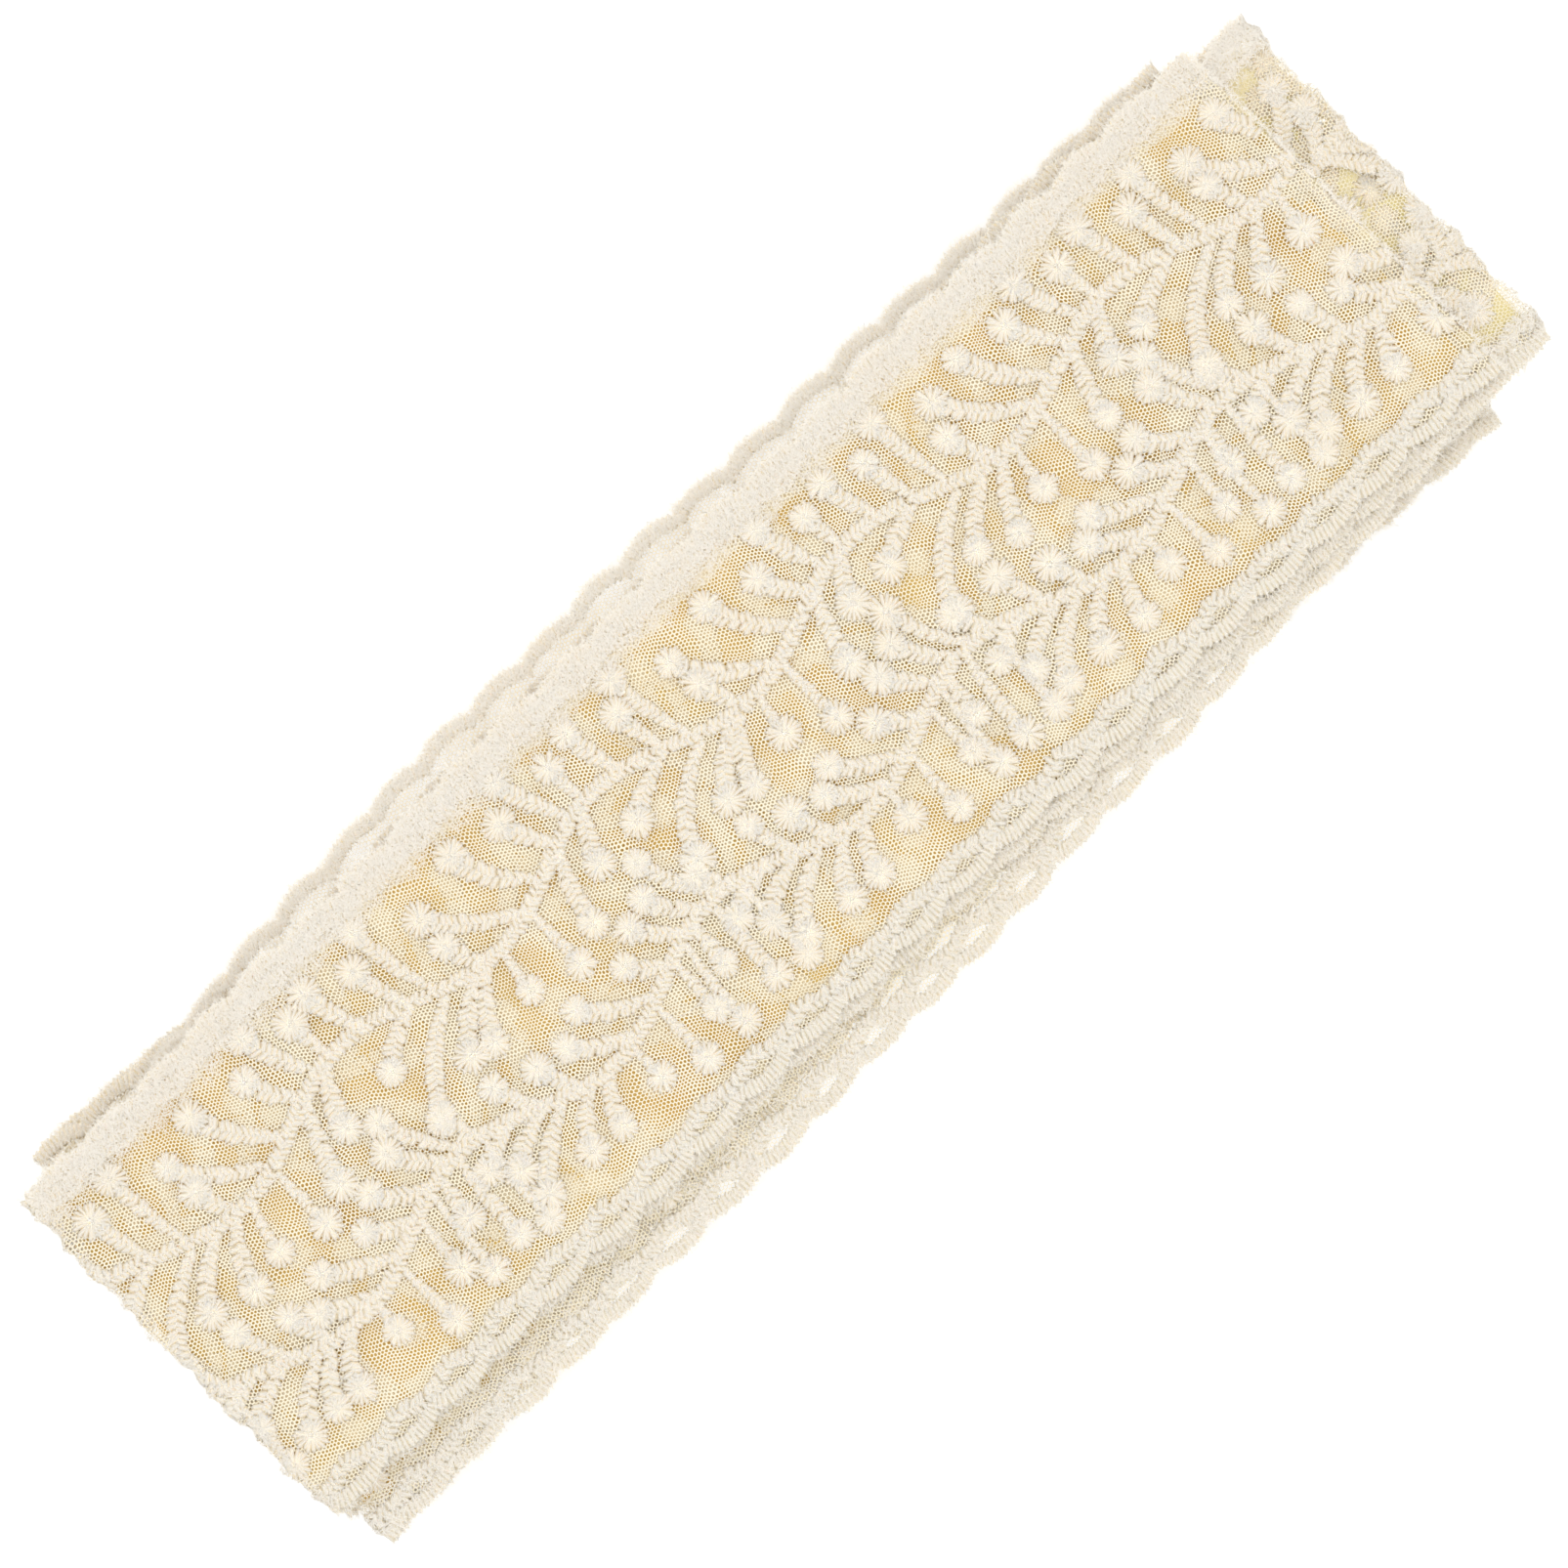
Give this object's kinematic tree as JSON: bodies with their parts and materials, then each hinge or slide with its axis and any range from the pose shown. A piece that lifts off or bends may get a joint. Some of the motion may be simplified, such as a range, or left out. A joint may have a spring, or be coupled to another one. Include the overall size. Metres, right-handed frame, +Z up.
{
  "type": "folded lace trim bundle",
  "caption": "Wide scalloped lace trim with embroidered leaf sprays on fine net, one cut length folded back and forth into a flat bundle.",
  "frame": {"origin": "under the middle of the bundle, on the surface that it lies on", "axes": "+X along the bundle towards the end where one fold reaches past the top length's cut end, +Y across it, +Z up through the folded lengths"},
  "size_m": [0.3016, 0.0971, 0.0159],
  "materials": {
    "cream_cotton": "matte cream cotton thread on fine net"
  },
  "bodies": {
    "root": {"lace_trim": "cream_cotton"}
  },
  "joints": []
}
